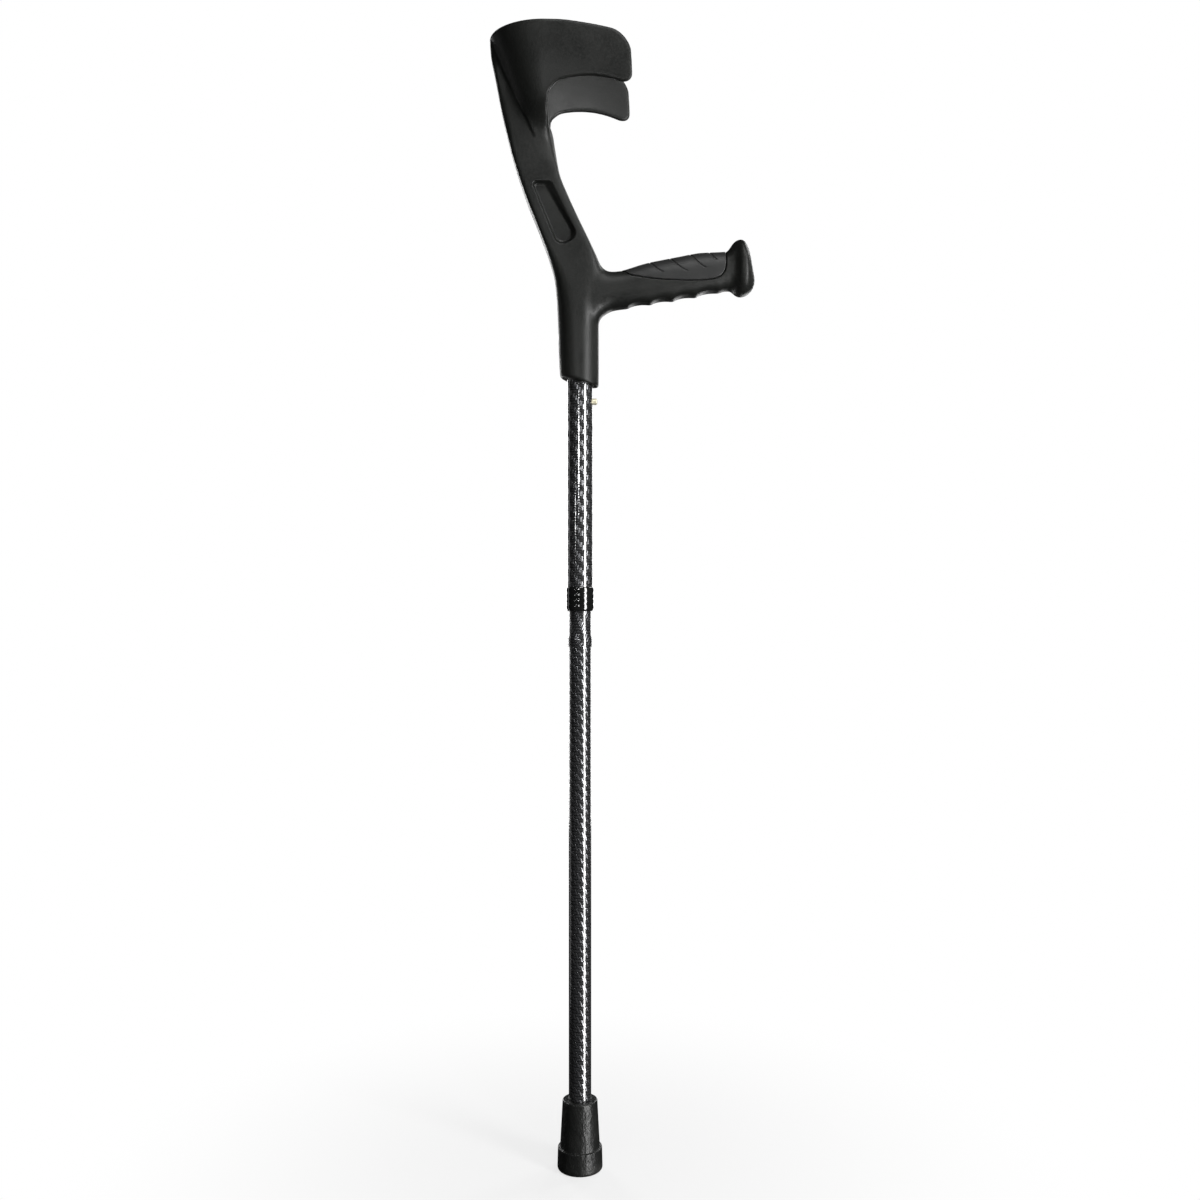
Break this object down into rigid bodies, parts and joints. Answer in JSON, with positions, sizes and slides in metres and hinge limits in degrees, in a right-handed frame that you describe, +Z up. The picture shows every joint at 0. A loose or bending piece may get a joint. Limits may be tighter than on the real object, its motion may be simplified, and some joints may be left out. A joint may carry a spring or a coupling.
{
  "type": "forearm crutch",
  "caption": "Folding forearm crutch: open C-cuff and pistol grip in one moulding, telescopic carbon-look tubes with snap button and cord joint, rubber tip.",
  "frame": {"origin": "centre of the ferrule's flat base, on the axis of the tubes", "axes": "+Z up along the tubes, +X forward towards the end of the hand grip, XZ the plane of symmetry of the handle"},
  "size_m": [0.2305, 0.0918, 0.9809],
  "materials": {
    "moulding": "fine-grained black moulding",
    "soft_grip": "soft black elastomer, satin",
    "carbon_look": "aluminium tube under a glossy printed twill film",
    "gloss_black": "glossy black moulding",
    "tip_rubber": "matt black rubber",
    "brass": "polished",
    "spring_steel": "rolled strip",
    "plated_steel": "zinc plated",
    "nylon": "grey moulded nylon",
    "bare_tube": "drawn aluminium",
    "cord": "braided cover over an elastic core"
  },
  "bodies": {
    "handle": {"handle_body": "moulding", "grip_pad": "soft_grip", "upper_tube": "carbon_look", "tube_screw": "plated_steel", "anti_rattle_collar": "gloss_black"},
    "inner_tube": {"middle_tube": "carbon_look", "guide_bush": "nylon", "button_spring": "spring_steel", "cord_plug_upper": "nylon", "cord_clip_upper": "plated_steel", "shock_cord": "cord"},
    "button": {"snap_button": "brass"},
    "lower_shaft": {"lower_tube": "carbon_look", "joint_spigot": "bare_tube", "tube_end_plug": "nylon", "cord_clip_lower": "plated_steel", "ferrule": "tip_rubber", "ferrule_washer": "plated_steel"}
  },
  "joints": [
    {"name": "height_slide", "type": "slide", "parent": "handle", "child": "inner_tube", "axis": [0, 0, -1], "range_m": [0, 0.15]},
    {"name": "button_press", "type": "slide", "parent": "inner_tube", "child": "button", "axis": [-1, 0, 0], "range_m": [0, 0.005], "stiffness_N_per_m": 1500, "springref_m": -0.0002, "deforming": ["button_spring"]},
    {"name": "fold_pull", "type": "slide", "parent": "inner_tube", "child": "lower_shaft", "axis": [0, 0, -1], "range_m": [0, 0.05], "stiffness_N_per_m": 300, "springref_m": -0.08, "deforming": ["shock_cord"]}
  ]
}
